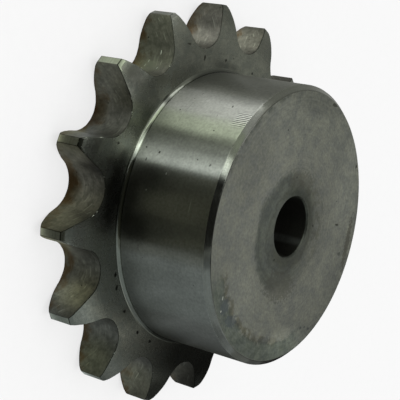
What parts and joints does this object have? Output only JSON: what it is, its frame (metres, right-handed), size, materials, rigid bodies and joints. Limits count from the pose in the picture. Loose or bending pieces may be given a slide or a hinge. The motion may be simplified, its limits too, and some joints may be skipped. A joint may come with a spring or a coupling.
{
  "type": "chain sprocket",
  "caption": "Steel roller-chain sprocket with a plain round boss on one side and a pilot bore through it.",
  "frame": {"origin": "on the bore's axis, in the plate's flat back face", "axes": "+Z along the bore from the toothed plate out through the boss; +X through the middle of one tooth"},
  "size_m": [0.0822, 0.0826, 0.03],
  "materials": {
    "steel": "bare turned and milled steel, lightly oiled"
  },
  "bodies": {
    "root": {"sprocket": "steel"}
  },
  "joints": []
}
